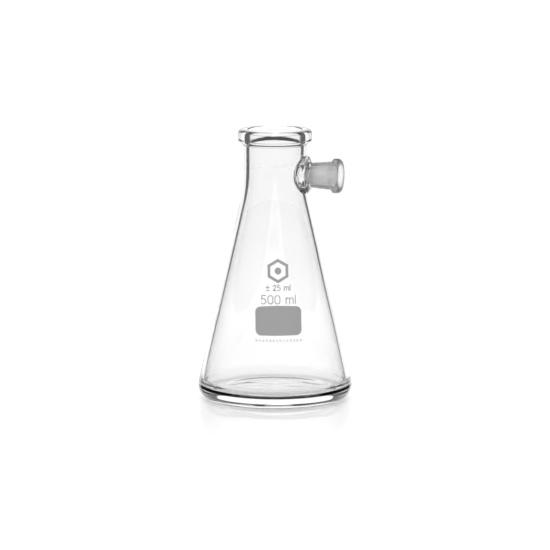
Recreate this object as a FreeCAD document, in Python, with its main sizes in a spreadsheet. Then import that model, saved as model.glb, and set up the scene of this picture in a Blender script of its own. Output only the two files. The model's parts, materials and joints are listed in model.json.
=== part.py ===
"""Filter flask, 500 ml, with a ground side socket and a fired enamel print.

Own frame, millimetres: the flask stands on z = 0, its axis is +Z, and the side arm points along +X.
The driving dimensions are in the spreadsheet "Dimensions", and every sub-part is bound to them.
"""
import FreeCAD, Part
import Sketcher
import math
import os

DIMENSIONS = {
    # blown body
    "flask_height": 185.0,
    "body_radius": 52.5,
    "heel_radius": 10.5,
    "cone_angle": 13.15,
    "cone_wall": 3.3,
    "waist_radius": 90.0,
    "neck_radius": 21.9,
    "neck_bore_radius": 17.75,
    # base
    "floor_edge": 9.6,
    "floor_middle": 9.8,
    "floor_flat_radius": 20.0,
    "floor_round": 60.0,
    "inner_heel_radius": 5.0,
    "foot_ring_radius": 36.0,
    "punt_radius": 26.0,
    "punt_rise": 1.8,
    "punt_round": 16.0,
    # tooled rim
    "rim_radius": 25.1,
    "rim_thickness": 9.0,
    "rim_slope": 1.8,
    "rim_root_round": 1.8,
    "rim_under_round": 2.0,
    "rim_top_round": 2.2,
    "lip_round": 2.4,
    # side arm, measured along the arm from the flask axis
    "arm_height": 154.5,
    "arm_length": 46.1,
    "seal_end": 25.6,
    "seal_radius": 12.6,
    "seal_second_radius": 11.0,
    "seal_third_radius": 9.3,
    "seal_step": 1.3,
    "seal_round": 0.5,
    "notch_radius": 7.5,
    "passage_radius": 5.0,
    "ground_mouth_radius": 7.25,
    "ground_length": 23.0,
    "ground_taper": 0.05,
    "socket_small_radius": 8.6,
    "socket_large_radius": 9.85,
    "socket_round": 0.8,
    "bead_radius": 11.85,
    "bead_width": 5.5,
    "bead_round": 1.7,
    # enamel print, laid out facing -Y and turned into place
    "print_turn": 18.4,
    "print_thickness": 0.15,
    "emblem_height": 92.8,
    "emblem_radius": 8.1,
    "emblem_band": 2.2,
    "emblem_dot_radius": 2.3,
    "type_height": 79.95,
    "type_letter_height": 3.5,
    "type_stroke": 0.62,
    "capacity_height": 71.15,
    "capacity_letter_height": 5.5,
    "capacity_stroke": 0.62,
    "panel_bottom": 50.3,
    "panel_side": 18.8,
    "panel_crown": 1.1,
    "panel_half_width": 15.5,
    "panel_corner": 3.6,
    "panel_edge_round": 110.0,
    "dash_height": 46.2,
    "dash_band": 1.5,
    "dash_length": 1.5,
    "dash_gap": 0.8,
    "dash_count": 14.0,
}

TAN = "tan(Dimensions.cone_angle)"
COS = "cos(Dimensions.cone_angle)"
# radius at which the outer cone line would meet the floor plane, so that the heel is body_radius wide
CONE_FOOT = f"(Dimensions.body_radius + Dimensions.heel_radius * ({TAN} + 1 / {COS} - 1))"
CONE_WALL = f"Dimensions.cone_wall / {COS}"
OPEN_AIR = 12.0      # how far a cutting tool runs on beyond the solid that it cuts
PRINT_REACH = 60.0   # from the flask axis to the plane that the print is drawn on


def outer_cone(height):
    """Expression for the outer cone's radius at a height."""
    return f"{CONE_FOOT} - ({height}) * {TAN}"


def add_sheet(doc):
    sheet = doc.addObject("Spreadsheet::Sheet", "Dimensions")
    for row, (alias, number) in enumerate(DIMENSIONS.items(), start=1):
        sheet.set(f"A{row}", alias)
        sheet.set(f"B{row}", str(number))
        sheet.setAlias(f"B{row}", alias)
    doc.recompute()
    return sheet


def number_of(feature, expression):
    value = feature.evalExpression(expression)
    return float(getattr(value, "Value", value))


# ---------------------------------------------------------------------------- sketches

def tangent_arc(before, corner, after, radius):
    """The arc of a given radius that rounds a corner: its two ends, its centre, and its turn."""
    back = (before - corner).normalize()
    ahead = (after - corner).normalize()
    half = back.getAngle(ahead) / 2
    reach = radius / math.tan(half)
    middle = (back + ahead).normalize()
    centre = corner + middle * (radius / math.sin(half))
    turns_left = back.cross(ahead).z < 0
    return corner + back * reach, corner + ahead * reach, centre, turns_left


def arc_between(start, end, centre, turns_left):
    first, last = (start, end) if turns_left else (end, start)
    circle = Part.Circle(centre, FreeCAD.Vector(0, 0, 1), (start - centre).Length)
    return Part.ArcOfCircle(circle, circle.parameter(first), circle.parameter(last))


def bind(sketch, constraint, name, expression):
    index = sketch.addConstraint(constraint)
    sketch.renameConstraint(index, name)
    sketch.setExpression(f"Constraints.{name}", expression)


def place_point(sketch, geometry, end, name, across, up, at):
    """Hold one point of a sketch at two bound distances from its origin."""
    if across == "0":
        sketch.addConstraint(Sketcher.Constraint("PointOnObject", geometry, end, -2))
    else:
        bind(sketch, Sketcher.Constraint("DistanceX", -1, 1, geometry, end, at.x), f"across_{name}", across)
    if up == "0":
        sketch.addConstraint(Sketcher.Constraint("PointOnObject", geometry, end, -1))
    else:
        bind(sketch, Sketcher.Constraint("DistanceY", -1, 1, geometry, end, at.y), f"up_{name}", up)


def draw_outline(sketch, corners, label="p"):
    """Draw a closed outline through corners (across, up) or (across, up, radius of the rounding)."""
    count = len(corners)
    points = [FreeCAD.Vector(number_of(sketch, c[0]), number_of(sketch, c[1]), 0) for c in corners]
    starts, ends, arcs = list(points), list(points), {}
    for i, corner in enumerate(corners):
        if len(corner) == 3:
            radius = number_of(sketch, corner[2])
            ends[i], starts[i], centre, left = tangent_arc(points[i - 1], points[i],
                                                           points[(i + 1) % count], radius)
            arcs[i] = (centre, left)
    lines = [sketch.addGeometry(Part.LineSegment(starts[i], ends[(i + 1) % count])) for i in range(count)]
    for i, corner in enumerate(corners):
        name = f"{label}{i}"
        line_in, line_out = lines[i - 1], lines[i]
        if i not in arcs:
            sketch.addConstraint(Sketcher.Constraint("Coincident", line_in, 2, line_out, 1))
            place_point(sketch, line_out, 1, name, corner[0], corner[1], points[i])
            continue
        centre, left = arcs[i]
        arc = sketch.addGeometry(arc_between(ends[i], starts[i], centre, left))
        first, last = (1, 2) if left else (2, 1)
        point = sketch.addGeometry(Part.Point(points[i]), True)
        place_point(sketch, point, 1, name, corner[0], corner[1], points[i])
        sketch.addConstraint(Sketcher.Constraint("PointOnObject", point, 1, line_in))
        sketch.addConstraint(Sketcher.Constraint("PointOnObject", point, 1, line_out))
        sketch.addConstraint(Sketcher.Constraint("Tangent", line_in, 2, arc, first))
        sketch.addConstraint(Sketcher.Constraint("Tangent", arc, last, line_out, 1))
        radius_now = (ends[i] - centre).Length
        bind(sketch, Sketcher.Constraint("Radius", arc, radius_now), f"round_{name}", corner[2])


def origin_plane(body, role):
    return next(plane for plane in body.Origin.OriginFeatures if plane.Role == role)


def upright_sketch(body, name, raised=None):
    """A sketch on the body's XZ plane, with its origin raised to a bound height if one is given."""
    sketch = body.newObject("Sketcher::SketchObject", name)
    sketch.AttachmentSupport = [(origin_plane(body, "XZ_Plane"), "")]
    sketch.MapMode = "FlatFace"
    if raised:
        sketch.setExpression(".AttachmentOffset.Base.y", raised)
    return sketch


def revolve(body, kind, name, sketch, axis):
    feature = body.newObject(kind, name)
    feature.Profile = sketch
    feature.ReferenceAxis = (sketch, [axis])
    feature.Angle = 360
    sketch.Visibility = False
    body.Tip = feature
    return feature


# ---------------------------------------------------------------------------- glass

def neck_outside(low, high):
    """Corners of the solid cone and neck between two heights, without the rim."""
    shoulder = f"({CONE_FOOT} - Dimensions.neck_radius) / {TAN}"
    return [
        ("0", low),
        (outer_cone(low), low),
        ("Dimensions.neck_radius", shoulder, "Dimensions.waist_radius"),
        ("Dimensions.neck_radius", high),
        ("0", high),
    ]


def flask_profile():
    rim_bottom = "Dimensions.flask_height - Dimensions.rim_thickness"
    rim_root = f"{rim_bottom} - Dimensions.rim_slope / 2"
    rim_under = f"{rim_bottom} + Dimensions.rim_slope / 2"
    shoulder = neck_outside("0", "0")[2]
    inner_shoulder = f"({CONE_FOOT} - {CONE_WALL} - Dimensions.neck_bore_radius) / {TAN}"
    inner_waist = "Dimensions.waist_radius + Dimensions.neck_radius - Dimensions.neck_bore_radius"
    inner_foot = f"{outer_cone('Dimensions.floor_edge')} - {CONE_WALL}"
    return [
        ("0", "Dimensions.punt_rise"),
        ("Dimensions.punt_radius", "Dimensions.punt_rise", "Dimensions.punt_round"),
        ("Dimensions.foot_ring_radius", "0", "Dimensions.punt_round"),
        (CONE_FOOT, "0", "Dimensions.heel_radius"),
        shoulder,
        ("Dimensions.neck_radius", rim_root, "Dimensions.rim_root_round"),
        ("Dimensions.rim_radius", rim_under, "Dimensions.rim_under_round"),
        ("Dimensions.rim_radius", "Dimensions.flask_height", "Dimensions.rim_top_round"),
        ("Dimensions.neck_bore_radius", "Dimensions.flask_height", "Dimensions.lip_round"),
        ("Dimensions.neck_bore_radius", inner_shoulder, inner_waist),
        (inner_foot, "Dimensions.floor_edge", "Dimensions.inner_heel_radius"),
        ("Dimensions.floor_flat_radius", "Dimensions.floor_middle", "Dimensions.floor_round"),
        ("0", "Dimensions.floor_middle"),
    ]


def add_flask_body(doc):
    """The blown cone, neck, thick base and tooled rim, with the passage to the side arm."""
    body = doc.addObject("PartDesign::Body", "flask_body")
    profile = upright_sketch(body, "flask_profile")
    draw_outline(profile, flask_profile())
    blown = revolve(body, "PartDesign::Revolution", "blown_body", profile, "V_Axis")
    doc.recompute()
    whole = blown.Shape.Volume
    passage = upright_sketch(body, "passage_profile", raised="Dimensions.arm_height")
    beyond = f"Dimensions.neck_radius + {OPEN_AIR}"
    draw_outline(passage, [
        (f"{OPEN_AIR}", "0"),
        (beyond, "0"),
        (beyond, "Dimensions.passage_radius"),
        (f"{OPEN_AIR}", "Dimensions.passage_radius"),
    ])
    hole = revolve(body, "PartDesign::Groove", "passage", passage, "H_Axis")
    doc.recompute()
    if not hole.Shape.Volume < whole:
        raise RuntimeError("the passage to the side arm cuts nothing")
    return body


def ground_radius(along):
    """Expression for the ground bore's radius at a distance along the arm."""
    return f"Dimensions.ground_mouth_radius - (Dimensions.arm_length - ({along})) * Dimensions.ground_taper"


def add_side_seal(doc):
    """The clear fused shoulder between the neck and the socket, rippled in three rings."""
    body = doc.addObject("PartDesign::Body", "side_seal")
    ring = upright_sketch(body, "seal_profile", raised="Dimensions.arm_height")
    end = "Dimensions.seal_end"
    third = f"{end} - 0.4"
    second = f"{third} - Dimensions.seal_step"
    first = f"{second} - Dimensions.seal_step"
    ground_end = "Dimensions.arm_length - Dimensions.ground_length"
    draw_outline(ring, [
        (f"{OPEN_AIR}", "Dimensions.passage_radius"),
        ("Dimensions.neck_radius", "Dimensions.passage_radius"),
        (ground_end, ground_radius(ground_end)),
        (end, ground_radius(end)),
        (end, "Dimensions.notch_radius"),
        (third, "Dimensions.seal_third_radius", "Dimensions.seal_round"),
        (f"{second} + 0.3", "Dimensions.seal_third_radius + 0.3", "Dimensions.seal_round"),
        (second, "Dimensions.seal_second_radius", "Dimensions.seal_round"),
        (f"{first} + 0.3", "Dimensions.seal_second_radius + 0.2", "Dimensions.seal_round"),
        (first, "Dimensions.seal_radius", "Dimensions.seal_round"),
        (f"{OPEN_AIR}", "Dimensions.seal_radius"),
    ])
    solid = revolve(body, "PartDesign::Revolution", "seal_ring", ring, "H_Axis")
    doc.recompute()
    whole = solid.Shape.Volume
    saddle = upright_sketch(body, "neck_profile")
    draw_outline(saddle, neck_outside(f"Dimensions.arm_height - 2 * Dimensions.seal_radius",
                                      f"Dimensions.arm_height + 1.5 * Dimensions.seal_radius"))
    fitted = revolve(body, "PartDesign::Groove", "neck_saddle", saddle, "V_Axis")
    doc.recompute()
    if not fitted.Shape.Volume < whole:
        raise RuntimeError("the neck does not cut the seal")
    return body


def add_side_socket(doc):
    """The standard-taper socket, ground inside, with a bead around its mouth."""
    body = doc.addObject("PartDesign::Body", "side_socket")
    sketch = upright_sketch(body, "socket_profile", raised="Dimensions.arm_height")
    start, mouth = "Dimensions.seal_end", "Dimensions.arm_length"
    bead_start = f"{mouth} - Dimensions.bead_width"
    draw_outline(sketch, [
        (start, ground_radius(start)),
        (mouth, "Dimensions.ground_mouth_radius"),
        (mouth, "Dimensions.bead_radius", "Dimensions.bead_round"),
        (bead_start, "Dimensions.bead_radius", "Dimensions.bead_round"),
        (f"{bead_start} - 0.5", "Dimensions.socket_large_radius", "Dimensions.socket_round"),
        (f"{start} + 0.5", "Dimensions.socket_small_radius", "Dimensions.socket_round"),
        (start, "Dimensions.notch_radius"),
    ])
    revolve(body, "PartDesign::Revolution", "socket_tube", sketch, "H_Axis")
    return body


# ---------------------------------------------------------------------------- enamel print

def add_print_shell(doc):
    """The thin layer on the outside of the cone that every printed mark is a piece of."""
    skin = f"Dimensions.print_thickness / {COS}"
    top = "Dimensions.arm_height - 4 * Dimensions.seal_radius"
    cones = []
    for name, grown in (("print_outside", skin), ("cone_outside", "0")):
        cone = doc.addObject("Part::Cone", name)
        cone.setExpression("Radius1", f"{CONE_FOOT} + {grown}")
        cone.setExpression("Radius2", f"{outer_cone(top)} + {grown}")
        cone.setExpression("Height", top)
        cones.append(cone)
    shell = doc.addObject("Part::Cut", "print_shell")
    shell.Base, shell.Tool = cones
    return shell


def print_drawing(doc, name, height):
    """A sketch on an upright plane in front of the flask, its origin at a height on the label's middle."""
    sketch = doc.addObject("Sketcher::SketchObject", name)
    turned = FreeCAD.Rotation(FreeCAD.Vector(1, 0, 0), 90)
    sketch.Placement = FreeCAD.Placement(FreeCAD.Vector(0, -PRINT_REACH, 0), turned)
    sketch.setExpression(".Placement.Base.z", height)
    return sketch


def print_from(doc, name, shell, stencil):
    """Keep the part of the print shell behind a stencil, and turn it to its place on the cone."""
    mark = doc.addObject("Part::Common", name)
    mark.Base, mark.Tool = shell, stencil
    mark.Placement = FreeCAD.Placement(FreeCAD.Vector(), FreeCAD.Rotation(FreeCAD.Vector(0, 0, 1), 1))
    mark.setExpression(".Placement.Rotation.Angle", "Dimensions.print_turn")
    return mark


def stencil_from(doc, sketch):
    stencil = doc.addObject("Part::Extrusion", f"{sketch.Name}_stencil")
    stencil.Base = sketch
    stencil.DirMode = "Custom"
    stencil.Dir = FreeCAD.Vector(0, 1, 0)
    stencil.LengthFwd = PRINT_REACH
    stencil.Solid = True
    stencil.FaceMakerClass = "Part::FaceMakerBullseye"
    return stencil


def hexagon(radius):
    """Corners of an upright hexagon around the origin, as expressions."""
    return [(f"({radius}) * {math.sin(math.radians(60 * k)):.6f}" if k % 3 else "0",
             f"({radius}) * {math.cos(math.radians(60 * k)):.6f}") for k in range(6, 0, -1)]


def add_emblem_print(doc, shell):
    """A plain hexagon band with a dot in it."""
    sketch = print_drawing(doc, "emblem_drawing", "Dimensions.emblem_height")
    draw_outline(sketch, hexagon("Dimensions.emblem_radius"), "outer")
    draw_outline(sketch, hexagon("Dimensions.emblem_radius - Dimensions.emblem_band"), "inner")
    dot_radius = number_of(sketch, "Dimensions.emblem_dot_radius")
    dot = sketch.addGeometry(Part.Circle(FreeCAD.Vector(), FreeCAD.Vector(0, 0, 1), dot_radius))
    sketch.addConstraint(Sketcher.Constraint("Coincident", dot, 3, -1, 1))
    bind(sketch, Sketcher.Constraint("Radius", dot, dot_radius), "dot", "Dimensions.emblem_dot_radius")
    return print_from(doc, "emblem_print", shell, stencil_from(doc, sketch))


def add_writing_panel(doc, shell):
    """The matt field for writing on, its top edge crowned and its bottom edge nearly straight."""
    sketch = print_drawing(doc, "panel_drawing", "Dimensions.panel_bottom")
    side, top = "Dimensions.panel_half_width", "Dimensions.panel_side"
    draw_outline(sketch, [
        (f"-{side}", "0", "Dimensions.panel_corner"),
        (side, "0", "Dimensions.panel_corner"),
        (side, top, "Dimensions.panel_corner"),
        ("0", f"{top} + Dimensions.panel_crown", "Dimensions.panel_edge_round"),
        (f"-{side}", top, "Dimensions.panel_corner"),
    ])
    return print_from(doc, "writing_panel", shell, stencil_from(doc, sketch))


def add_dash_print(doc, shell):
    """A faint row of short dashes under the panel."""
    bars = []
    pitch = "(Dimensions.dash_length + Dimensions.dash_gap)"
    count = int(number_of(shell, "Dimensions.dash_count"))
    for k in range(count):
        bar = doc.addObject("Part::Box", f"dash_{k + 1}")
        bar.setExpression("Length", "Dimensions.dash_length")
        bar.setExpression("Height", "Dimensions.dash_band")
        bar.Width = PRINT_REACH
        bar.Placement.Base.y = -PRINT_REACH
        from_middle = k - (count - 1) / 2
        bar.setExpression(".Placement.Base.x", f"{from_middle} * {pitch} - Dimensions.dash_length / 2")
        bar.setExpression(".Placement.Base.z", "Dimensions.dash_height")
        bars.append(bar)
    row = doc.addObject("Part::MultiFuse", "dash_stencil")
    row.Shapes = bars
    return print_from(doc, "dash_print", shell, row)


# Letters drawn with one pen stroke after another, in units of the letter height. A stroke is a list
# of points, in which ("bow", middle, end) draws an arc through the middle to the end.
LETTERS = {
    "5": (0.56, [[(0.50, 1.0), (0.10, 1.0), (0.04, 0.55), ("bow", (0.56, 0.33), (0.0, 0.10))]]),
    "0": (0.60, [[(0.0, 0.30), (0.0, 0.70), ("bow", (0.30, 1.0), (0.60, 0.70)), (0.60, 0.30),
                  ("bow", (0.30, 0.0), (0.0, 0.30))]]),
    "2": (0.54, [[(0.02, 0.76), ("bow", (0.30, 1.0), (0.50, 0.64)), (0.0, 0.0), (0.54, 0.0)]]),
    "±": (0.56, [[(0.0, 0.56), (0.56, 0.56)], [(0.28, 0.28), (0.28, 0.84)], [(0.0, 0.0), (0.56, 0.0)]]),
    "m": (0.88, [[(0.0, 0.0), (0.0, 0.72)],
                 [(0.0, 0.48), ("bow", (0.22, 0.70), (0.44, 0.48)), (0.44, 0.0)],
                 [(0.44, 0.48), ("bow", (0.66, 0.70), (0.88, 0.48)), (0.88, 0.0)]]),
    "l": (0.0, [[(0.0, 0.0), (0.0, 1.0)]]),
    " ": (0.24, []),
}
LETTER_GAP = 0.26


def stroke_pieces(stroke, to_plane, pen):
    """Flat faces for one pen stroke: a bar or a bent bar for each piece, and a round at each point."""
    upright = FreeCAD.Vector(0, 0, 1)
    here = to_plane(stroke[0])
    ends = [here]
    faces = []
    for step in stroke[1:]:
        if step[0] == "bow":
            middle, there = to_plane(step[1]), to_plane(step[2])
            bow = Part.Circle(here, middle, there)
            rings = [Part.Circle(bow.Center, upright, bow.Radius + side * pen / 2) for side in (1, -1)]
            turn = (middle - here).cross(there - middle).z
            first, last = (here, there) if turn > 0 else (there, here)
            spans = [(ring.parameter(first), ring.parameter(last)) for ring in rings]
            edges = [Part.ArcOfCircle(ring, *span).toShape() for ring, span in zip(rings, spans)]
            caps = [Part.makeLine(edges[0].Vertexes[k].Point, edges[1].Vertexes[k].Point) for k in (0, 1)]
            faces.append(Part.Face(Part.Wire(Part.__sortEdges__([edges[0], caps[1], edges[1], caps[0]]))))
        else:
            there = to_plane(step)
            across = (there - here).cross(upright).normalize() * pen / 2
            outline = [here + across, there + across, there - across, here - across, here + across]
            faces.append(Part.Face(Part.makePolygon(outline)))
        here = there
        ends.append(here)
    faces += [Part.Face(Part.Wire(Part.makeCircle(pen / 2, end))) for end in ends]
    return faces


def add_lettering(doc, name, text, height, letter_height, stroke, shell):
    """A line of letters, centred on the label's middle and printed on the cone."""
    size = number_of(shell, letter_height)
    pen = number_of(shell, stroke)
    length = sum(LETTERS[letter][0] + LETTER_GAP for letter in text) - LETTER_GAP
    faces = []
    left = -length / 2
    for letter in text:
        width, strokes = LETTERS[letter]

        def to_plane(at, left=left):
            return FreeCAD.Vector((left + at[0]) * size, at[1] * size, 0)

        for pen_stroke in strokes:
            faces += stroke_pieces(pen_stroke, to_plane, pen)
        left += width + LETTER_GAP
    solids = [face.extrude(FreeCAD.Vector(0, 0, -PRINT_REACH)) for face in faces]
    stencil = doc.addObject("Part::Feature", f"{name}_stencil")
    stencil.Shape = solids[0].fuse(solids[1:]).removeSplitter()
    turned = FreeCAD.Rotation(FreeCAD.Vector(1, 0, 0), 90)
    stencil.Placement = FreeCAD.Placement(FreeCAD.Vector(0, -PRINT_REACH, 0), turned)
    stencil.setExpression(".Placement.Base.z", height)
    return print_from(doc, name, shell, stencil)


# ---------------------------------------------------------------------------- document

def check_document(doc):
    for item in doc.Objects:
        bad = [state for state in item.State if state in ("Invalid", "Error")]
        if bad:
            raise RuntimeError(f"{item.Name} is {bad}: {item.getStatusString()}")


def export(nodes):
    os.makedirs("parts", exist_ok=True)
    for node in nodes:
        shape = node.Shape
        if shape.isNull() or not shape.isValid() or shape.Volume <= 0:
            raise RuntimeError(f"{node.Label} has no valid solid")
        shape.exportStep(f"parts/{node.Label}.step")
        box = shape.BoundBox
        print(f"{node.Label:16s} solids {len(shape.Solids):2d} volume {shape.Volume:10.1f} mm3"
              f" x {box.XMin:.2f}..{box.XMax:.2f} y {box.YMin:.2f}..{box.YMax:.2f}"
              f" z {box.ZMin:.2f}..{box.ZMax:.2f}")


def main():
    doc = FreeCAD.newDocument("filter_flask")
    add_sheet(doc)
    nodes = [add_flask_body(doc), add_side_seal(doc), add_side_socket(doc)]
    shell = add_print_shell(doc)
    nodes += [
        add_emblem_print(doc, shell),
        add_lettering(doc, "type_print", "± 25 ml", "Dimensions.type_height",
                      "Dimensions.type_letter_height", "Dimensions.type_stroke", shell),
        add_lettering(doc, "capacity_print", "500 ml", "Dimensions.capacity_height",
                      "Dimensions.capacity_letter_height", "Dimensions.capacity_stroke", shell),
        add_writing_panel(doc, shell),
        add_dash_print(doc, shell),
    ]
    doc.recompute()
    check_document(doc)
    export(nodes)


main()
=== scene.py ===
"""Looks of the 500 ml filter flask: clear blown glass, a ground side socket and a fired enamel print.

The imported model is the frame. The three glass pieces are rebuilt here with round surfaces, ripples
and the hole between neck and socket; the enamel print keeps its CAD solids.
"""
import json
import math

import bmesh
import bpy
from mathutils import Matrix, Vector, noise

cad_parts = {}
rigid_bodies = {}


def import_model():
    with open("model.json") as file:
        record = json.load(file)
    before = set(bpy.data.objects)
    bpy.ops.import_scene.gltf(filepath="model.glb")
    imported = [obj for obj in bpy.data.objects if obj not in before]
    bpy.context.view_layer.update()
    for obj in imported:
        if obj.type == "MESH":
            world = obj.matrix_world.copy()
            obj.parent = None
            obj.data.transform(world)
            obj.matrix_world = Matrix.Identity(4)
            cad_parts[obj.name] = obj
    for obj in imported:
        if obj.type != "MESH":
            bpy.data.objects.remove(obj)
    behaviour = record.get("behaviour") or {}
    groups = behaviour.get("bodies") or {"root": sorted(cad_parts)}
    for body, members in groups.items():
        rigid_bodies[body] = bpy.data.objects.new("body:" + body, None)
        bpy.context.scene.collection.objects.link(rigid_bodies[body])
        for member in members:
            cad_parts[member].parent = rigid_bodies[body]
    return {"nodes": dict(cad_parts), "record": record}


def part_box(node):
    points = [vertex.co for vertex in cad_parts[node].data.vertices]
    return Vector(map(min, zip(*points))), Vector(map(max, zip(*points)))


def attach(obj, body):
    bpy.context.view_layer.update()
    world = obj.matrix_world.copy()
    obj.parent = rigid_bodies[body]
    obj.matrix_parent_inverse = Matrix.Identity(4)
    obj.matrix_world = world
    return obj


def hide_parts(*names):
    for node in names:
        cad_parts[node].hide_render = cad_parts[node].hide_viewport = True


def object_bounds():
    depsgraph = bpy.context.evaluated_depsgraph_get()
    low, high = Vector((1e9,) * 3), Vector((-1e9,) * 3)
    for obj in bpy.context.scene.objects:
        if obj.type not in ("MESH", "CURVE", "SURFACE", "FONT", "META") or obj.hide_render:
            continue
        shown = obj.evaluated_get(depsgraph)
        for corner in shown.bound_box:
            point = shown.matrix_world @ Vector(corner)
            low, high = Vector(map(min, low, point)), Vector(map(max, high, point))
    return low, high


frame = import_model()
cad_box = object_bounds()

MM = 0.001
MOUNTS = {mount["name"]: mount for mount in frame["record"]["mounts"]}

# ---------------------------------------------------------------- sizes, in millimetres
HEIGHT = cad_box[1].z / MM
BODY_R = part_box("flask_body")[1].x / MM
NECK_BORE_R = MOUNTS["neck_bore"]["dims"]["r_mm"]
ARM_Z = MOUNTS["side_socket"]["pos_m"][2] / MM
ARM_END = MOUNTS["side_socket"]["pos_m"][0] / MM
SEAL_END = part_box("side_socket")[0].x / MM
BEAD_R = (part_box("side_socket")[1].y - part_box("side_socket")[0].y) / 2 / MM
SEAL_R = (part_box("side_seal")[1].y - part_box("side_seal")[0].y) / 2 / MM

CONE_ANGLE = math.radians(13.15)
HEEL_R = 10.5           # radius of the rounded heel
WALL = 3.3              # thickness of the cone's glass
WAIST_R = 90.0          # radius of the bend from the cone to the neck
NECK_R = 21.9
HOLLOW, HOLLOW_R, HOLLOW_ROUND = 1.8, 26.0, 16.0    # the underside's depth, its flat middle and its bends
STAND_R = 36.0          # where the hollow comes down to the bench
FLOOR_EDGE, FLOOR_MIDDLE = 9.6, 9.8     # height of the inner floor
FLOOR_R, FLOOR_ROUND = 20.0, 60.0       # its flat middle, and the bend around that
INNER_HEEL_R = 5.0
RIM_R = 25.1
RIM_BOTTOM = HEIGHT - 9.0
RIM_SLOPE = 1.8         # how far the rim's underside rises from the neck to its edge
RIM_ROOT_ROUND, RIM_UNDER_ROUND, RIM_TOP_ROUND = 1.8, 2.0, 2.2
LIP_ROUND = 2.4
HEEL_START, HEEL_TOP = 38.0, 5.0    # the heel's underside, from this radius out and up to this height
PASSAGE_R = 5.0         # the hole between the neck and the socket
PASSAGE_ROUND = 1.6     # its rounded edge inside the neck
TAPER = 0.05            # of the ground bore, radius over length
MOUTH_R = 7.25
GROUND_START = ARM_END - 23.0
NOTCH_R = 7.5           # the narrow place between the seal and the socket
BEAD_START = ARM_END - 5.5
FOOT_MARGIN, FOOT_SIDEWAYS = 1.1, 2.0   # how far the seal's foot reaches past it, and more sideways

SLOPE = math.tan(CONE_ANGLE)
CONE_FOOT = BODY_R + HEEL_R * (SLOPE + 1 / math.cos(CONE_ANGLE) - 1)
WALL_ACROSS = WALL / math.cos(CONE_ANGLE)

COLUMNS = 256           # around the flask
PATCH_COLUMNS = 36      # on each side of the arm, where the grid gives way to rings round the hole
PATCH_LEVELS = 34
PATCH_HALF = 17.0       # its half height
FUSED_STEPS = 8         # rings over the face where the seal and the neck are one
ARM_COLUMNS = 160
FLARE_STEPS = 14        # rings up the seal's fillet
OUTER_PATCH_STEPS, INNER_PATCH_STEPS, EDGE_STEPS = 5, 14, 5
ROW_STEP = 2.5          # longest step up the flask's outlines
LEVEL_GAP = 0.3         # outline points this near the patch give way to its levels
ARC_STEP = 1.2          # longest step along a round stretch of an outline


# ---------------------------------------------------------------- outlines
def rounded(corners, turn=math.radians(6)):
    """Points along an open outline. A corner's third number is the radius that rounds it."""
    points = []
    for i, corner in enumerate(corners):
        here = Vector(corner[:2])
        if len(corner) == 2:
            points.append(here)
            continue
        back = (Vector(corners[i - 1][:2]) - here).normalized()
        ahead = (Vector(corners[i + 1][:2]) - here).normalized()
        half = back.angle(ahead) / 2
        reach = corner[2] / math.tan(half)
        centre = here + (back + ahead).normalized() * (corner[2] / math.sin(half))
        first = here + back * reach - centre
        last = here + ahead * reach - centre
        total = math.pi - 2 * half
        steps = max(3, math.ceil(total / turn), math.ceil(total * corner[2] / ARC_STEP))
        for k in range(steps + 1):
            angle = total * k / steps
            spoke = first * math.sin(total - angle) + last * math.sin(angle)
            points.append(centre + spoke / math.sin(total))
    return points


def divided(points, longest):
    """The same outline with no step longer than a given length."""
    result = [points[0]]
    for a, b in zip(points, points[1:]):
        steps = max(1, math.ceil((b - a).length / longest))
        result += [a.lerp(b, k / steps) for k in range(1, steps + 1)]
    return result


def radius_at(outline, height):
    """Radius of a rising outline at a height."""
    for a, b in zip(outline, outline[1:]):
        if a.y <= height <= b.y and b.y > a.y:
            return a.x + (b.x - a.x) * (height - a.y) / (b.y - a.y)
    raise ValueError(height)


SHOULDER = (CONE_FOOT - NECK_R) / SLOPE
INNER_SHOULDER = (CONE_FOOT - WALL_ACROSS - NECK_BORE_R) / SLOPE
RIM_SPLIT = (NECK_BORE_R + LIP_ROUND + RIM_R - RIM_TOP_ROUND) / 2     # on the flat top of the rim

OUTSIDE = rounded([
    (0.0, HOLLOW), (HOLLOW_R, HOLLOW, HOLLOW_ROUND), (STAND_R, 0.0, HOLLOW_ROUND), (CONE_FOOT, 0.0, HEEL_R),
    (NECK_R, SHOULDER, WAIST_R), (NECK_R, RIM_BOTTOM - RIM_SLOPE / 2, RIM_ROOT_ROUND),
    (RIM_R, RIM_BOTTOM + RIM_SLOPE / 2, RIM_UNDER_ROUND), (RIM_R, HEIGHT, RIM_TOP_ROUND),
    (RIM_SPLIT, HEIGHT)])
INSIDE = rounded([
    (0.0, FLOOR_MIDDLE), (FLOOR_R, FLOOR_MIDDLE, FLOOR_ROUND),
    (CONE_FOOT - FLOOR_EDGE * SLOPE - WALL_ACROSS, FLOOR_EDGE, INNER_HEEL_R),
    (NECK_BORE_R, INNER_SHOULDER, WAIST_R + NECK_R - NECK_BORE_R),
    (NECK_BORE_R, HEIGHT, LIP_ROUND), (RIM_SPLIT, HEIGHT)])


RIPPLE_DEPTH, RIPPLE_PACE, RIPPLE_RISE = 0.10, 1.3, 45.0
LOW_RIPPLE, LOW_HEIGHT, LOW_SPREAD = 0.22, 12.0, 14.0       # extra depth near the floor
RIPPLE_FADE_R, RIPPLE_FADE_TOP = 15.0, 12.0     # it dies out at the axis and at the rim
INNER_SEED, SEAL_SEED = Vector((3.1, 7.7, 1.9)), Vector((5.2, 1.4, 8.8))


def inner_ripple(angle, height):
    """How far the blown inner surface stands off its outline, in millimetres."""
    at = Vector((math.cos(angle), math.sin(angle), height / RIPPLE_RISE))
    depth = RIPPLE_DEPTH + LOW_RIPPLE * math.exp(-((height - LOW_HEIGHT) / LOW_SPREAD) ** 2)
    return depth * noise.noise(at * RIPPLE_PACE + INNER_SEED)


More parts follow.
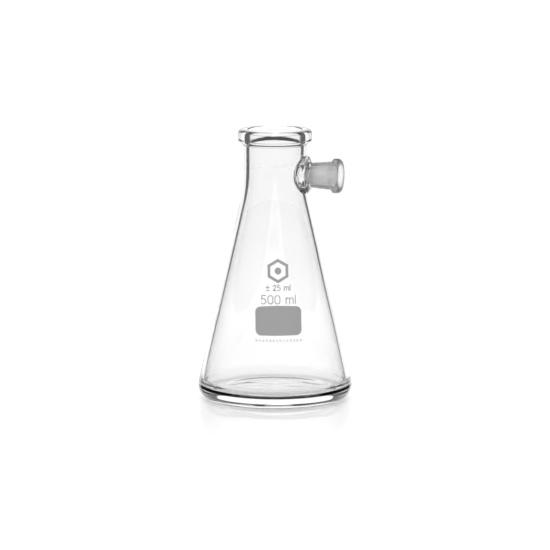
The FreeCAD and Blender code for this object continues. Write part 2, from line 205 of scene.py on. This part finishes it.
def on_outside(angle, height):
    radius = radius_at(OUTSIDE_WALL, height)
    return Vector((radius * math.cos(angle), radius * math.sin(angle), height))


def on_inside(angle, height):
    radius = radius_at(INSIDE_WALL, height) + inner_ripple(angle, height)
    return Vector((radius * math.cos(angle), radius * math.sin(angle), height))


# the stretches of both outlines that pass the hole, where height tells the radius
WALL_FROM, SHORT_OF_RIM, SHORT_OF_LIP = 20.0, 0.5, 1.5
OUTSIDE_WALL = [p for p in OUTSIDE if WALL_FROM < p.y < RIM_BOTTOM - SHORT_OF_RIM]
INSIDE_WALL = [p for p in INSIDE if WALL_FROM < p.y < HEIGHT - SHORT_OF_LIP]


# ---------------------------------------------------------------- mesh collecting
class Skin:
    """Points and faces of one closed piece, in millimetres."""

    def __init__(self):
        self.points, self.faces, self.slots = [], [], []

    def add(self, point):
        self.points.append(Vector(point) * MM)
        return len(self.points) - 1

    def ring(self, points):
        return [self.add(point) for point in points]

    def face(self, corners, slot=0):
        self.faces.append(corners)
        self.slots.append(slot)

    def band(self, a, b, slot=0):
        for k in range(len(a)):
            n = (k + 1) % len(a)
            self.face((a[k], a[n], b[n], b[k]), slot)

    def cap(self, middle, ring, slot=0):
        for k in range(len(ring)):
            self.face((middle, ring[k], ring[(k + 1) % len(ring)]), slot)

    def build(self, name, materials, sharp=math.radians(50)):
        mesh = bpy.data.meshes.new(name)
        mesh.from_pydata(self.points, [], self.faces)
        for material in materials:
            mesh.materials.append(material)
        mesh.polygons.foreach_set("material_index", self.slots)
        piece = bpy.data.objects.new(name, mesh)
        bpy.context.scene.collection.objects.link(piece)
        point_faces_out(mesh)
        mesh.polygons.foreach_set("use_smooth", [True] * len(mesh.polygons))
        mesh.set_sharp_from_angle(angle=sharp)
        mesh.update()
        return piece


def point_faces_out(mesh):
    """Turns every face outwards, and says so if the mesh is not closed."""
    work = bmesh.new()
    work.from_mesh(mesh)
    bmesh.ops.recalc_face_normals(work, faces=work.faces)
    if any(not edge.is_manifold for edge in work.edges):
        print("NOT CLOSED", mesh.name, sum(not edge.is_manifold for edge in work.edges))
    work.to_mesh(mesh)
    work.free()


# ---------------------------------------------------------------- flask body
CLEAR, FUSED, GROUND, HEEL = 0, 1, 2, 3     # places in each glass piece's list of materials


def foot_radius(turn):
    """How far the seal's foot reaches over the neck, further sideways than up and down."""
    return SEAL_R + FOOT_MARGIN + FOOT_SIDEWAYS * math.cos(turn) ** 2


def fused_radius(part, turn):
    """From the seal's foot in to the hole, over the face where the seal and the neck are one."""
    return foot_radius(turn) + (PASSAGE_R - foot_radius(turn)) * part


LEVELS = [ARM_Z - PATCH_HALF + 2 * PATCH_HALF * k / PATCH_LEVELS for k in range(PATCH_LEVELS + 1)]


def with_levels(outline):
    """A rising outline whose points beside the hole are exchanged for the patch's levels."""
    low = [p for p in outline if p.y < LEVELS[0] - LEVEL_GAP]
    high = [p for p in outline if p.y > LEVELS[-1] + LEVEL_GAP]
    rows = divided(low + [Vector((radius_at(outline, LEVELS[0]), LEVELS[0]))], ROW_STEP)[:-1]
    first = len(rows)
    rows += [Vector((radius_at(outline, level), level)) for level in LEVELS]
    rows += divided([rows[-1]] + high, ROW_STEP)[1:]
    return rows, first


def patch_places():
    """Grid places around the patch, once round, as (level, column)."""
    side = PATCH_COLUMNS
    return ([(0, k) for k in range(-side, side)]
            + [(j, side) for j in range(PATCH_LEVELS)]
            + [(PATCH_LEVELS, k) for k in range(side, -side, -1)]
            + [(j, -side) for j in range(PATCH_LEVELS, 0, -1)])


def column_angle(k):
    return 2 * math.pi * k / COLUMNS


def wall_grid(skin, outline, first, place, slot_of=lambda point: CLEAR):
    """Rings of points up one side of the wall, with quads everywhere but in the patch."""
    rows = []
    for i, point in enumerate(outline):
        level = i - first
        ring = {}
        for k in range(COLUMNS):
            inside = 0 < level < PATCH_LEVELS and (k < PATCH_COLUMNS or k > COLUMNS - PATCH_COLUMNS)
            if not inside:
                ring[k] = skin.add(place(column_angle(k), point))
        rows.append(ring)
    for i in range(len(rows) - 1):
        for k in range(COLUMNS):
            n = (k + 1) % COLUMNS
            in_patch = 0 <= i - first < PATCH_LEVELS and (k < PATCH_COLUMNS or k >= COLUMNS - PATCH_COLUMNS)
            if not in_patch:
                skin.face((rows[i][k], rows[i][n], rows[i + 1][n], rows[i + 1][k]), slot_of(outline[i]))
    return rows


def circle_place(radius, turn, wall):
    """Angle and height on the wall of a point of a circle drawn round the arm's axis."""
    across, height = radius * math.cos(turn), ARM_Z + radius * math.sin(turn)
    return math.asin(across / radius_at(wall, height)), height


def patch_rings(skin, edge_ids, edge_at, turns, radius_of, wall, on_wall, steps):
    """Rings on the wall from the patch's edge in to a closed line round the hole."""
    rings = [edge_ids]
    for step in range(1, steps + 1):
        part = step / steps
        ring = []
        for (angle, height), turn in zip(edge_at, turns):
            goal_angle, goal_height = circle_place(radius_of(turn), turn, wall)
            ring.append(skin.add(on_wall(angle + (goal_angle - angle) * part,
                                         height + (goal_height - height) * part)))
        rings.append(ring)
    return rings


def add_flask_body(materials):
    skin = Skin()
    out_rows, out_first = with_levels(OUTSIDE)
    in_rows, in_first = with_levels(INSIDE)
    bottom = skin.add((0, 0, out_rows[0].y))
    floor = skin.add((0, 0, in_rows[0].y))

    def outer(angle, p):
        return (p.x * math.cos(angle), p.x * math.sin(angle), p.y)

    def inner(angle, p):
        fade = min(1.0, p.x / RIPPLE_FADE_R) * min(1.0, (HEIGHT - p.y) / RIPPLE_FADE_TOP)
        flat = p.y < FLOOR_MIDDLE + 0.01
        lift = inner_ripple(angle, p.y) * fade
        radius = p.x + (0.0 if flat else lift)
        return (radius * math.cos(angle), radius * math.sin(angle), p.y + (lift if flat else 0.0))

    def outer_slot(p):
        return HEEL if p.x > HEEL_START and p.y < HEEL_TOP else CLEAR

    outer_grid = wall_grid(skin, out_rows[1:], out_first - 1, outer, outer_slot)
    inner_grid = wall_grid(skin, in_rows[1:-1], in_first - 1, inner)
    skin.cap(bottom, [outer_grid[0][k] for k in range(COLUMNS)])
    skin.cap(floor, [inner_grid[0][k] for k in range(COLUMNS)])
    skin.band([outer_grid[-1][k] for k in range(COLUMNS)], [inner_grid[-1][k] for k in range(COLUMNS)])

    places = patch_places()
    edge_at = [(column_angle(k), LEVELS[j]) for j, k in places]
    turns = [math.atan2(height - ARM_Z, NECK_R * math.sin(angle)) for angle, height in edge_at]
    outer_edge = [outer_grid[out_first - 1 + j][k % COLUMNS] for j, k in places]
    inner_edge = [inner_grid[in_first - 1 + j][k % COLUMNS] for j, k in places]

    outer_rings = patch_rings(skin, outer_edge, edge_at, turns, foot_radius, OUTSIDE_WALL, on_outside,
                              OUTER_PATCH_STEPS)
    for a, b in zip(outer_rings, outer_rings[1:]):
        skin.band(a, b)
    for k in range(1, FUSED_STEPS + 1):
        ring = skin.ring(on_outside(*circle_place(fused_radius(k / FUSED_STEPS, turn), turn, OUTSIDE_WALL))
                         for turn in turns)
        skin.band(outer_rings[-1], ring, FUSED)
        outer_rings.append(ring)

    inner_rings = patch_rings(skin, inner_edge, edge_at, turns, lambda turn: PASSAGE_R + PASSAGE_ROUND,
                              INSIDE_WALL, on_inside, INNER_PATCH_STEPS)
    for step in range(1, EDGE_STEPS + 1):
        lean = math.radians(90 * step / EDGE_STEPS)
        radius = PASSAGE_R + PASSAGE_ROUND * (1 - math.sin(lean))
        ring = []
        for turn in turns:
            point = on_inside(*circle_place(radius, turn, INSIDE_WALL))
            point.x += PASSAGE_ROUND * (1 - math.cos(lean))
            ring.append(skin.add(point))
        inner_rings.append(ring)
    for a, b in zip(inner_rings, inner_rings[1:]):
        skin.band(a, b)
    skin.band(inner_rings[-1], outer_rings[-1])
    return skin.build("blown_flask", materials)


# ---------------------------------------------------------------- side arm
def arm_point(along, radius, turn):
    return Vector((along, radius * math.cos(turn), ARM_Z + radius * math.sin(turn)))


def neck_surface(radius, turn):
    """Where a line along the arm, at a radius and turn about its axis, meets the neck's outside."""
    return on_outside(*circle_place(radius, turn, OUTSIDE_WALL)).x


def ground_radius(along):
    return MOUTH_R - (ARM_END - along) * TAPER


FILLET_LEAVE, FILLET_ARRIVE = 1.3, 0.9      # how long the fillet keeps to its directions at both ends
FILLET_PROBE = 0.1


def fillet_point(part, turn, end):
    """Radius and distance along the arm of a point on the seal's fillet, which leaves the neck smoothly."""
    foot = foot_radius(turn)
    start = Vector((foot, neck_surface(foot, turn)))
    ahead = Vector((foot - FILLET_PROBE, neck_surface(foot - FILLET_PROBE, turn)))
    end = Vector((end.y, end.x))
    reach = (end - start).length
    leave = (ahead - start).normalized() * reach * FILLET_LEAVE
    arrive = Vector((0.0, 1.0)) * reach * FILLET_ARRIVE
    square, cube = part ** 2, part ** 3
    return (start * (2 * cube - 3 * square + 1) + leave * (cube - 2 * square + part)
            + end * (3 * square - 2 * cube) + arrive * (cube - square))


# the seal's steps: how far back from the socket, radius off the arm's axis, rounding
SEAL_STEPS = [(2.9, SEAL_R - 0.35), (2.4, SEAL_R - 0.6, 0.5), (2.1, 11.0, 0.3),
              (1.3, 10.6, 0.5), (1.1, 9.4, 0.3), (0.45, 9.1, 0.4), (0.0, NOTCH_R)]
STEP_TURN, CREST_STEP, BORE_STEP, SOCKET_STEP = math.radians(12), 0.4, 0.5, 0.8
SEAL_RIPPLE, AROUND_PACE, ALONG_PACE = 1.3, 0.8, 0.7


def seal_ripple(turn, along):
    """Unevenness of glass that was worked in the flame, in millimetres off its round shape."""
    at = Vector((AROUND_PACE * math.cos(turn), AROUND_PACE * math.sin(turn), along * ALONG_PACE))
    return SEAL_RIPPLE * noise.noise(at + SEAL_SEED)


def add_side_seal(materials):
    skin = Skin()
    turns = [2 * math.pi * k / ARM_COLUMNS for k in range(ARM_COLUMNS)]
    crests = rounded([(SEAL_END - back, *rest) for back, *rest in SEAL_STEPS], turn=STEP_TURN)
    crests = divided(crests, CREST_STEP)
    rings = []
    for step in range(FLARE_STEPS):
        ring = []
        for turn in turns:
            radius, along = fillet_point(step / FLARE_STEPS, turn, crests[0])
            radius += seal_ripple(turn, along) * (step / FLARE_STEPS) ** 2
            ring.append(skin.add(arm_point(along, radius, turn)))
        rings.append((ring, CLEAR))
    for p in crests:
        fade = min(1.0, SEAL_END - p.x)     # over the last millimetre
        ring = skin.ring(arm_point(p.x, p.y + seal_ripple(turn, p.x) * fade, turn) for turn in turns)
        rings.append((ring, CLEAR))
    end_steps = 2
    for step in range(1, end_steps + 1):
        radius = NOTCH_R + (ground_radius(SEAL_END) - NOTCH_R) * step / end_steps
        rings.append((skin.ring(arm_point(SEAL_END, radius, turn) for turn in turns), FUSED))
    bore = rounded([
        (SEAL_END, ground_radius(SEAL_END)), (GROUND_START, ground_radius(GROUND_START), 0.6),
        (GROUND_START - 0.9, PASSAGE_R, 0.5), (GROUND_START - 1.0, PASSAGE_R)])
    for p in divided(bore, BORE_STEP)[1:]:
        slot = GROUND if p.x > GROUND_START else CLEAR
        rings.append((skin.ring(arm_point(p.x, p.y, turn) for turn in turns), slot))
    hole = skin.ring(arm_point(neck_surface(PASSAGE_R, turn), PASSAGE_R, turn) for turn in turns)
    rings.append((hole, CLEAR))
    for step in range(FUSED_STEPS - 1, 0, -1):
        ring = []
        for turn in turns:
            radius = fused_radius(step / FUSED_STEPS, turn)
            ring.append(skin.add(arm_point(neck_surface(radius, turn), radius, turn)))
        rings.append((ring, FUSED))
    rings.append((rings[0][0], FUSED))
    for (a, _), (b, slot) in zip(rings, rings[1:]):
        skin.band(a, b, slot)
    return skin.build("seal_shoulder", materials)


def add_side_socket(materials):
    skin = Skin()
    turns = [2 * math.pi * k / ARM_COLUMNS for k in range(ARM_COLUMNS)]
    outline = rounded([
        (SEAL_END, NOTCH_R), (SEAL_END + 0.5, 8.6, 0.8), (BEAD_START - 0.5, 9.85, 0.9),
        (BEAD_START, BEAD_R, 1.7), (ARM_END, BEAD_R, 1.9), (ARM_END, MOUTH_R, 0.9),
        (ARM_END - 2.0, ground_radius(ARM_END - 2.0)), (SEAL_END, ground_radius(SEAL_END))])
    rings, ground = [], False
    for p in divided(outline, SOCKET_STEP):
        ground = ground or p.x > ARM_END - 0.05     # from the end face on, over the lip and down the bore
        rings.append((skin.ring(arm_point(p.x, p.y, turn) for turn in turns), GROUND if ground else CLEAR))
    rings.append((rings[0][0], FUSED))
    for (a, _), (b, slot) in zip(rings, rings[1:]):
        skin.band(a, b, slot)
    return skin.build("ground_socket", materials)


# ---------------------------------------------------------------- materials
GLASS_IOR = 1.473       # borosilicate


def new_material(name):
    material = bpy.data.materials.new(name)
    material.use_nodes = True
    nodes = material.node_tree.nodes
    links = material.node_tree.links
    shader = nodes["Principled BSDF"]
    return material, nodes, links, shader


def noise_node(nodes, links, scale, detail=2.0, stretch=(1.0, 1.0, 1.0)):
    place = nodes.new("ShaderNodeTexCoord")
    squeeze = nodes.new("ShaderNodeMapping")
    texture = nodes.new("ShaderNodeTexNoise")
    squeeze.inputs["Scale"].default_value = stretch
    texture.inputs["Scale"].default_value = scale
    texture.inputs["Detail"].default_value = detail
    links.new(place.outputs["Object"], squeeze.inputs["Vector"])
    links.new(squeeze.outputs["Vector"], texture.inputs["Vector"])
    return texture


def colour_between(nodes, links, factor, low, high):
    ramp = nodes.new("ShaderNodeValToRGB")
    ramp.color_ramp.elements[0].position = 0.35
    ramp.color_ramp.elements[0].color = (*low, 1)
    ramp.color_ramp.elements[1].position = 0.65
    ramp.color_ramp.elements[1].color = (*high, 1)
    links.new(factor, ramp.inputs["Fac"])
    return ramp


def bump(nodes, links, height, shader, strength, distance):
    node = nodes.new("ShaderNodeBump")
    node.inputs["Strength"].default_value = strength
    node.inputs["Distance"].default_value = distance
    links.new(height, node.inputs["Height"])
    links.new(node.outputs["Normal"], shader.inputs["Normal"])


def pass_lamp_light(nodes, links, shader, share):
    """Lamps shine through the glass, as they do through a thin wall, instead of throwing a solid shadow."""
    path = nodes.new("ShaderNodeLightPath")
    part = nodes.new("ShaderNodeMath")
    part.operation = "MULTIPLY"
    part.inputs[1].default_value = share
    clear = nodes.new("ShaderNodeBsdfTransparent")
    mix = nodes.new("ShaderNodeMixShader")
    links.new(path.outputs["Is Shadow Ray"], part.inputs[0])
    links.new(part.outputs[0], mix.inputs["Fac"])
    links.new(shader.outputs[0], mix.inputs[1])
    links.new(clear.outputs[0], mix.inputs[2])
    links.new(mix.outputs[0], nodes["Material Output"].inputs["Surface"])


def clear_glass(name, lamp_share):
    """Clear glass that lets this share of the lamps' light pass straight on."""
    material, nodes, links, shader = new_material(name)
    shader.inputs["Transmission Weight"].default_value = 1.0
    shader.inputs["Roughness"].default_value = 0.0
    shader.inputs["IOR"].default_value = GLASS_IOR
    cloud = noise_node(nodes, links, 14.0)
    tint = colour_between(nodes, links, cloud.outputs["Fac"], (0.985, 0.985, 0.99), (0.995, 0.997, 0.997))
    links.new(tint.outputs["Color"], shader.inputs["Base Color"])
    if lamp_share:
        pass_lamp_light(nodes, links, shader, lamp_share)
    return material


def ground_glass():
    """Ground, light-scattering glass with faint streaks along the arm."""
    material, nodes, links, shader = new_material("ground_borosilicate")
    shader.inputs["Transmission Weight"].default_value = 0.9
    shader.inputs["Roughness"].default_value = 0.9
    shader.inputs["IOR"].default_value = GLASS_IOR
    grain = noise_node(nodes, links, 900.0, detail=4.0)
    streak = noise_node(nodes, links, 420.0, detail=2.0, stretch=(0.12, 1.0, 1.0))
    tint = colour_between(nodes, links, streak.outputs["Fac"], (0.88, 0.87, 0.875), (1.0, 0.99, 0.995))
    links.new(tint.outputs["Color"], shader.inputs["Base Color"])
    bump(nodes, links, grain.outputs["Fac"], shader, 0.3, 0.0002)
    return material


def fused_glass():
    """Where two pieces of glass are fused, light passes straight on."""
    material, nodes, links, shader = new_material("fused_through")
    nodes.remove(shader)
    clear = nodes.new("ShaderNodeBsdfTransparent")
    links.new(clear.outputs[0], nodes["Material Output"].inputs["Surface"])
    return material


def enamel(name, low, high):
    material, nodes, links, shader = new_material(name)
    speck = noise_node(nodes, links, 2600.0, detail=3.0)
    tone = colour_between(nodes, links, speck.outputs["Fac"], (low,) * 3, (high,) * 3)
    links.new(tone.outputs["Color"], shader.inputs["Base Color"])
    shader.inputs["Roughness"].default_value = 0.6
    bump(nodes, links, speck.outputs["Fac"], shader, 0.2, 0.00005)
    return material


# in the order CLEAR, FUSED, GROUND, HEEL; the thick heel bends more lamp light aside than the wall does
GLASS = [clear_glass("clear_borosilicate", 0.93), fused_glass(), ground_glass(),
         clear_glass("heel_borosilicate", 0.6)]
ENAMEL = enamel("grey_enamel_print", 0.41, 0.45)
PALE = enamel("pale_enamel_print", 0.90, 0.94)

# ---------------------------------------------------------------- pieces
for build, node, slot in ((add_flask_body, "flask_body", "borosilicate_glass"),
                          (add_side_seal, "side_seal", "borosilicate_glass"),
                          (add_side_socket, "side_socket", "ground_glass")):
    piece = build(GLASS)
    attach(piece, "root")
    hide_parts(node)

for node, material in (("emblem_print", ENAMEL), ("type_print", ENAMEL), ("capacity_print", ENAMEL),
                       ("writing_panel", ENAMEL), ("dash_print", PALE)):
    carried = frame["nodes"][node]
    carried.material_slots[0].material = material

# ---------------------------------------------------------------- camera and studio
scene = bpy.context.scene
CAMERA_AZIMUTH = math.radians(15.0)
CAMERA_ELEVATION = math.radians(8.5)
CAMERA_DISTANCE = 3.0
FRAME_WIDTH = 0.3745
AIM = Vector((0, 0, 0.0851))
SENSOR_WIDTH = 36.0

camera = bpy.data.objects.new("camera", bpy.data.cameras.new("camera"))
scene.collection.objects.link(camera)
scene.camera = camera
camera.data.sensor_width = SENSOR_WIDTH
camera.data.lens = SENSOR_WIDTH * CAMERA_DISTANCE / FRAME_WIDTH
back = Vector((math.sin(CAMERA_AZIMUTH) * math.cos(CAMERA_ELEVATION),
               -math.cos(CAMERA_AZIMUTH) * math.cos(CAMERA_ELEVATION), math.sin(CAMERA_ELEVATION)))
camera.location = AIM + back * CAMERA_DISTANCE
camera.rotation_euler = (-back).to_track_quat("-Z", "Y").to_euler()

scene.view_settings.view_transform = "Standard"
scene.cycles.max_bounces = 24
scene.cycles.transmission_bounces = 20
scene.cycles.glossy_bounces = 12
scene.cycles.diffuse_bounces = 3
scene.cycles.transparent_max_bounces = 24


def emitter(name, strength):
    material = bpy.data.materials.new(name)
    material.use_nodes = True
    nodes, links = material.node_tree.nodes, material.node_tree.links
    nodes.remove(nodes["Principled BSDF"])
    glow = nodes.new("ShaderNodeEmission")
    glow.inputs["Strength"].default_value = strength
    links.new(glow.outputs[0], nodes["Material Output"].inputs["Surface"])
    return material


def stage_sheet(name, points, faces, material, in_glass=True):
    """One sheet of the set. The glass sees only those that are said to be seen in it."""
    mesh = bpy.data.meshes.new(name)
    mesh.from_pydata(points, [], faces)
    mesh.materials.append(material)
    sheet = bpy.data.objects.new(name, mesh)
    scene.collection.objects.link(sheet)
    sheet.parent = turntable
    sheet.visible_transmission = sheet.visible_glossy = in_glass
    return sheet


# the whole set turns with the camera, as it does when the flask is on a turntable
turntable = bpy.data.objects.new("turntable", None)
scene.collection.objects.link(turntable)
follow = turntable.constraints.new("LOCKED_TRACK")
follow.target = camera
follow.track_axis = "TRACK_NEGATIVE_Y"
follow.lock_axis = "LOCK_Z"

# in metres: the part of the floor that the glass sees is narrow in front and a sector behind the flask
FLOOR_HALF, FLOOR_FRONT, FLOOR_BACK = 0.058, -0.75, 1.3
FLOOR_SPREAD = FLOOR_HALF + FLOOR_BACK * math.tan(math.radians(33))
FAR = 3.0
BACKDROP_TOP, BACKDROP_STEPS = 0.75, 24
WHITE = 1.08            # how bright the backdrop is, where 1 is white


def acrylic():
    material, nodes, links, shader = new_material("white_acrylic")
    grain = noise_node(nodes, links, 3.0)
    tone = colour_between(nodes, links, grain.outputs["Fac"], (0.89, 0.89, 0.89), (0.9, 0.9, 0.9))
    links.new(tone.outputs["Color"], shader.inputs["Base Color"])
    shader.inputs["Roughness"].default_value = 0.26
    return material


floor_material = acrylic()
stage_sheet("floor", [(-FLOOR_HALF, FLOOR_FRONT, 0), (FLOOR_HALF, FLOOR_FRONT, 0), (FLOOR_HALF, 0, 0),
                      (FLOOR_SPREAD, FLOOR_BACK, 0), (-FLOOR_SPREAD, FLOOR_BACK, 0), (-FLOOR_HALF, 0, 0)],
            [(0, 1, 2, 3, 4, 5)], floor_material)
beside = [(FLOOR_HALF, -FAR), (FLOOR_HALF, FLOOR_FRONT), (FLOOR_HALF, 0), (FLOOR_SPREAD, FLOOR_BACK),
          (FAR, FLOOR_BACK), (FAR, -FAR)]
for side, name in ((-1, "floor_left"), (1, "floor_right")):
    stage_sheet(name, [(side * x, y, 0) for x, y in beside], [(0, 1, 2, 3, 4, 5)[::side]], floor_material,
                in_glass=False)

lit_white = emitter("backdrop_glow", WHITE)
half_arc = math.atan(FLOOR_SPREAD / FLOOR_BACK)
turns = [half_arc * (2 * k / BACKDROP_STEPS - 1) for k in range(BACKDROP_STEPS + 1)]
arc = [(FLOOR_BACK * math.sin(turn), FLOOR_BACK * math.cos(turn)) for turn in turns]
stage_sheet("backdrop", [(x, y, z) for z in (0, BACKDROP_TOP) for x, y in arc],
            [(k, k + 1, len(arc) + k + 1, len(arc) + k) for k in range(BACKDROP_STEPS)], lit_white)
stage_sheet("backdrop_far", [(-FAR, FLOOR_BACK, 0), (FAR, FLOOR_BACK, 0), (FAR, FLOOR_BACK, FAR),
                             (-FAR, FLOOR_BACK, FAR)], [(0, 1, 2, 3)], lit_white, in_glass=False)


def area_light(name, place, aim, size, power):
    """A lamp over the set, which shows neither in the glass nor through it."""
    light = bpy.data.lights.new(name, "AREA")
    light.shape = "RECTANGLE"
    light.size, light.size_y = size
    light.energy = power
    lamp = bpy.data.objects.new(name, light)
    scene.collection.objects.link(lamp)
    lamp.location = place
    lamp.rotation_euler = (Vector(aim) - Vector(place)).to_track_quat("-Z", "Y").to_euler()
    lamp.parent = turntable
    lamp.visible_glossy = lamp.visible_transmission = False
    return lamp


overhead = area_light("overhead", place=(0, 0.3, 1.6), aim=(0, 0.3, 0), size=(1.6, 1.1), power=24.0)
# the arm takes its light from the front only
lit = bpy.data.collections.new("lit_from_above")
for shone_on in scene.objects:
    if shone_on.type == "MESH" and shone_on.name not in ("seal_shoulder", "ground_socket"):
        lit.objects.link(shone_on)
overhead.light_linking.receiver_collection = lit
area_light("front_top", place=(0, -1.6, 1.0), aim=(0, 0, 0.08), size=(1.2, 0.7), power=15.0)

world = bpy.data.worlds.new("studio")
scene.world = world
world.use_nodes = True
dim = world.node_tree.nodes["Background"]
dim.inputs["Color"].default_value = (1, 1, 1, 1)
dim.inputs["Strength"].default_value = 0.08
